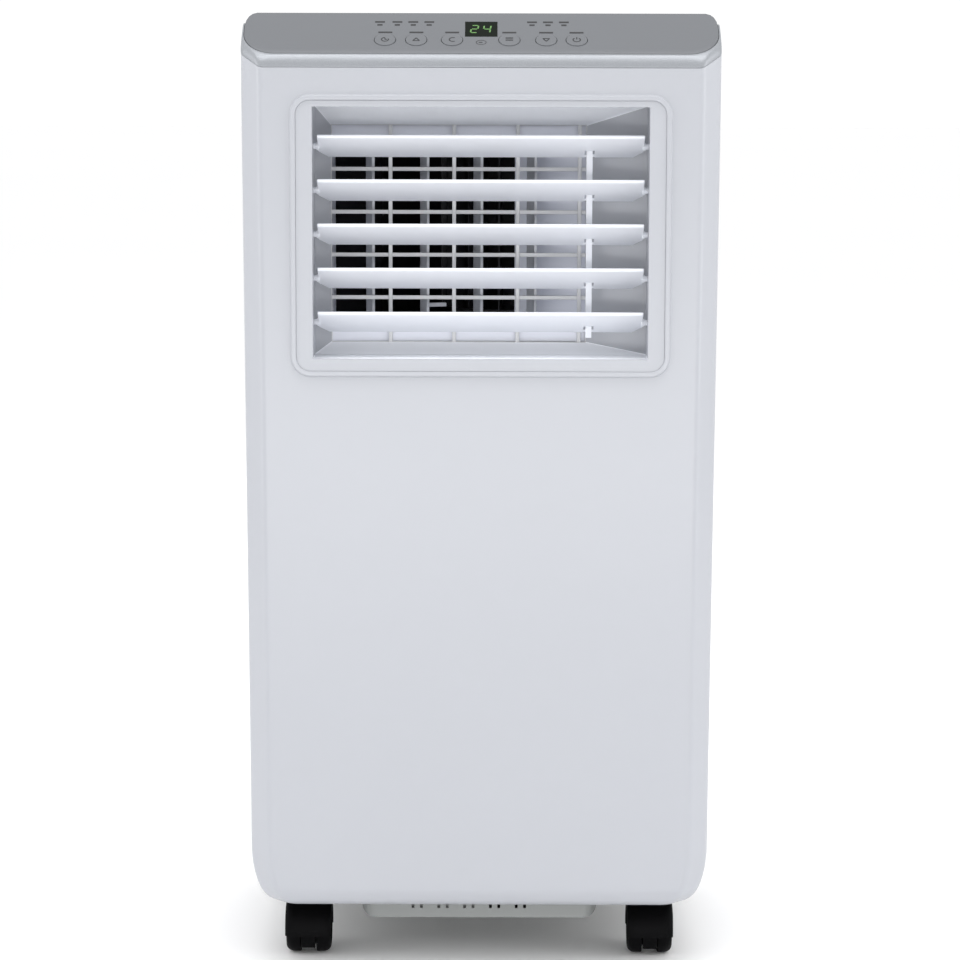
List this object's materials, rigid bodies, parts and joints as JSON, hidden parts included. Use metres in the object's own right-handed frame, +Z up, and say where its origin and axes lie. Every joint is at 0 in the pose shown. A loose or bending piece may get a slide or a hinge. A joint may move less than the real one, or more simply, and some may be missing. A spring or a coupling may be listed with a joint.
{
  "type": "portable air conditioner",
  "caption": "Tall upright portable air conditioner with a louvred front outlet, sloped top controls, rear hose outlet and casters.",
  "frame": {"origin": "on the floor under the middle of the housing's box", "axes": "+Z up, the louvred front faces -Y, the hose outlet faces +Y, +X to the right as seen from the front"},
  "size_m": [0.33, 0.288, 0.67],
  "materials": {
    "gloss_white": "glossy moulded plastic",
    "satin_white": "satin moulded plastic",
    "silver_trim": "silver-grey painted plastic",
    "grey_panel": "fine-textured grey panel",
    "display_black": "dark display window",
    "circuit_board": "green circuit board",
    "frame_white": "satin white",
    "blade_white": "satin white",
    "grid_grey": "light grey",
    "duct_grey": "grey",
    "scroll_black": "black",
    "motor_steel": "zinc-plated can",
    "fin_aluminium": "bare fins",
    "foam_grey": "foam-faced board",
    "compressor_black": "black paint",
    "rubber_black": "moulded rubber",
    "copper": "bare copper pipe",
    "galvanised": "galvanised sheet",
    "pan_grey": "light grey moulding",
    "screw_steel": "zinc-plated",
    "filter_nylon": "dark nylon mesh",
    "caster_black": "black nylon"
  },
  "bodies": {
    "root": {"front_shell": "gloss_white", "left_side_panel": "satin_white", "right_side_panel": "satin_white", "rear_panel": "satin_white", "top_cover": "silver_trim", "top_panel": "grey_panel", "display_window": "display_black", "control_board": "circuit_board", "louvre_frame": "frame_white", "guard_grid": "grid_grey", "outlet_duct": "duct_grey", "upper_scroll": "scroll_black", "upper_motor": "motor_steel", "evaporator_coil": "fin_aluminium", "drain_tray": "duct_grey", "partition_deck": "foam_grey", "lower_scroll": "scroll_black", "exhaust_motor": "motor_steel", "condenser_coil": "fin_aluminium", "compressor": "compressor_black", "compressor_mounts": "rubber_black", "refrigerant_pipes": "copper", "electric_box": "galvanised", "base_pan": "pan_grey", "exhaust_collar": "satin_white", "lower_grille": "satin_white", "handle_cups": "satin_white", "cord_gland": "rubber_black", "housing_screws": "screw_steel"},
    "blade_1": {"blade_1": "blade_white"},
    "blade_2": {"blade_2": "blade_white"},
    "blade_3": {"blade_3": "blade_white"},
    "blade_4": {"blade_4": "blade_white"},
    "blade_5": {"blade_5": "blade_white"},
    "louvre_link": {"louvre_link": "frame_white"},
    "vane_1": {"vane_1": "blade_white"},
    "vane_2": {"vane_2": "blade_white"},
    "vane_3": {"vane_3": "blade_white"},
    "vane_4": {"vane_4": "blade_white"},
    "vane_link": {"vane_link": "duct_grey"},
    "button_1": {"button_1": "grey_panel"},
    "button_2": {"button_2": "grey_panel"},
    "button_3": {"button_3": "grey_panel"},
    "button_4": {"button_4": "grey_panel"},
    "button_5": {"button_5": "grey_panel"},
    "button_6": {"button_6": "grey_panel"},
    "cooling_blower_wheel": {"cooling_blower_wheel": "scroll_black"},
    "exhaust_blower_wheel": {"exhaust_blower_wheel": "scroll_black"},
    "intake_filter": {"filter_cover": "satin_white", "filter_mesh": "filter_nylon"},
    "upper_drain_plug": {"upper_drain_plug": "rubber_black"},
    "lower_drain_plug": {"lower_drain_plug": "rubber_black"},
    "caster_fork_1": {"caster_fork_1": "caster_black"},
    "caster_wheel_1": {"caster_wheel_1": "caster_black"},
    "caster_fork_2": {"caster_fork_2": "caster_black"},
    "caster_wheel_2": {"caster_wheel_2": "caster_black"},
    "caster_fork_3": {"caster_fork_3": "caster_black"},
    "caster_wheel_3": {"caster_wheel_3": "caster_black"},
    "caster_fork_4": {"caster_fork_4": "caster_black"},
    "caster_wheel_4": {"caster_wheel_4": "caster_black"}
  },
  "joints": [
    {"name": "blade_1_tilt", "type": "hinge", "parent": "root", "child": "blade_1", "pos_m": [0, -0.122, 0.579], "axis": [1, 0, 0], "range_deg": [-35, 60]},
    {"name": "blade_2_tilt", "type": "hinge", "parent": "root", "child": "blade_2", "pos_m": [0, -0.122, 0.5486], "axis": [1, 0, 0], "range_deg": [-35, 60]},
    {"name": "blade_3_tilt", "type": "hinge", "parent": "root", "child": "blade_3", "pos_m": [0, -0.122, 0.5182], "axis": [1, 0, 0], "range_deg": [-35, 60]},
    {"name": "blade_4_tilt", "type": "hinge", "parent": "root", "child": "blade_4", "pos_m": [0, -0.122, 0.4878], "axis": [1, 0, 0], "range_deg": [-35, 60]},
    {"name": "blade_5_tilt", "type": "hinge", "parent": "root", "child": "blade_5", "pos_m": [0, -0.122, 0.4574], "axis": [1, 0, 0], "range_deg": [-35, 60]},
    {"name": "louvre_link_pin", "type": "hinge", "parent": "blade_1", "child": "louvre_link", "pos_m": [0.0752, -0.11074, 0.5725], "axis": [1, 0, 0], "range_deg": [-60, 35]},
    {"name": "vane_1_swing", "type": "hinge", "parent": "root", "child": "vane_1", "pos_m": [-0.0779, -0.076, 0.52], "axis": [0, 0, 1], "range_deg": [-50, 20]},
    {"name": "vane_2_swing", "type": "hinge", "parent": "root", "child": "vane_2", "pos_m": [-0.0395, -0.076, 0.52], "axis": [0, 0, 1], "range_deg": [-50, 20]},
    {"name": "vane_3_swing", "type": "hinge", "parent": "root", "child": "vane_3", "pos_m": [-0.0017, -0.076, 0.52], "axis": [0, 0, 1], "range_deg": [-50, 20]},
    {"name": "vane_4_swing", "type": "hinge", "parent": "root", "child": "vane_4", "pos_m": [0.0361, -0.076, 0.52], "axis": [0, 0, 1], "range_deg": [-50, 20]},
    {"name": "vane_link_pin", "type": "hinge", "parent": "vane_1", "child": "vane_link", "pos_m": [-0.07997, -0.06827, 0.4548], "axis": [0, 0, 1], "range_deg": [-20, 50]},
    {"name": "button_1_press", "type": "slide", "parent": "root", "child": "button_1", "axis": [0, 0.5299, -0.848], "range_m": [0, 0.0005], "stiffness_N_per_m": 700},
    {"name": "button_2_press", "type": "slide", "parent": "root", "child": "button_2", "axis": [0, 0.5299, -0.848], "range_m": [0, 0.0005], "stiffness_N_per_m": 700},
    {"name": "button_3_press", "type": "slide", "parent": "root", "child": "button_3", "axis": [0, 0.5299, -0.848], "range_m": [0, 0.0005], "stiffness_N_per_m": 700},
    {"name": "button_4_press", "type": "slide", "parent": "root", "child": "button_4", "axis": [0, 0.5299, -0.848], "range_m": [0, 0.0005], "stiffness_N_per_m": 700},
    {"name": "button_5_press", "type": "slide", "parent": "root", "child": "button_5", "axis": [0, 0.5299, -0.848], "range_m": [0, 0.0005], "stiffness_N_per_m": 700},
    {"name": "button_6_press", "type": "slide", "parent": "root", "child": "button_6", "axis": [0, 0.5299, -0.848], "range_m": [0, 0.0005], "stiffness_N_per_m": 700},
    {"name": "cooling_blower_spin", "type": "hinge", "parent": "root", "child": "cooling_blower_wheel", "pos_m": [0.025, 0.012, 0.52], "axis": [0, 0, 1], "continuous": true},
    {"name": "exhaust_blower_spin", "type": "hinge", "parent": "root", "child": "exhaust_blower_wheel", "pos_m": [0.085, -0.015, 0.21], "axis": [0, 0, 1], "continuous": true},
    {"name": "intake_filter_pull", "type": "slide", "parent": "root", "child": "intake_filter", "axis": [0, 1, 0], "range_m": [0, 0.06]},
    {"name": "upper_drain_plug_pull", "type": "slide", "parent": "root", "child": "upper_drain_plug", "axis": [0, 1, 0], "range_m": [0, 0.03]},
    {"name": "lower_drain_plug_pull", "type": "slide", "parent": "root", "child": "lower_drain_plug", "axis": [0, 1, 0], "range_m": [0, 0.03]},
    {"name": "caster_1_swivel", "type": "hinge", "parent": "root", "child": "caster_fork_1", "pos_m": [-0.1225, -0.084, 0.048], "axis": [0, 0, 1], "continuous": true},
    {"name": "caster_1_roll", "type": "hinge", "parent": "caster_fork_1", "child": "caster_wheel_1", "pos_m": [-0.1225, -0.096, 0.018], "axis": [1, 0, 0], "continuous": true},
    {"name": "caster_2_swivel", "type": "hinge", "parent": "root", "child": "caster_fork_2", "pos_m": [0.1225, -0.084, 0.048], "axis": [0, 0, 1], "continuous": true},
    {"name": "caster_2_roll", "type": "hinge", "parent": "caster_fork_2", "child": "caster_wheel_2", "pos_m": [0.1225, -0.096, 0.018], "axis": [1, 0, 0], "continuous": true},
    {"name": "caster_3_swivel", "type": "hinge", "parent": "root", "child": "caster_fork_3", "pos_m": [-0.1225, 0.09, 0.048], "axis": [0, 0, 1], "continuous": true},
    {"name": "caster_3_roll", "type": "hinge", "parent": "caster_fork_3", "child": "caster_wheel_3", "pos_m": [-0.1225, 0.078, 0.018], "axis": [1, 0, 0], "continuous": true},
    {"name": "caster_4_swivel", "type": "hinge", "parent": "root", "child": "caster_fork_4", "pos_m": [0.1225, 0.09, 0.048], "axis": [0, 0, 1], "continuous": true},
    {"name": "caster_4_roll", "type": "hinge", "parent": "caster_fork_4", "child": "caster_wheel_4", "pos_m": [0.1225, 0.078, 0.018], "axis": [1, 0, 0], "continuous": true}
  ],
  "couplings": [
    {"joint": "blade_2_tilt", "follows": "blade_1_tilt", "ratio": 1},
    {"joint": "blade_3_tilt", "follows": "blade_1_tilt", "ratio": 1},
    {"joint": "blade_4_tilt", "follows": "blade_1_tilt", "ratio": 1},
    {"joint": "blade_5_tilt", "follows": "blade_1_tilt", "ratio": 1},
    {"joint": "louvre_link_pin", "follows": "blade_1_tilt", "ratio": -1},
    {"joint": "vane_2_swing", "follows": "vane_1_swing", "ratio": 1},
    {"joint": "vane_3_swing", "follows": "vane_1_swing", "ratio": 1},
    {"joint": "vane_4_swing", "follows": "vane_1_swing", "ratio": 1},
    {"joint": "vane_link_pin", "follows": "vane_1_swing", "ratio": -1}
  ]
}
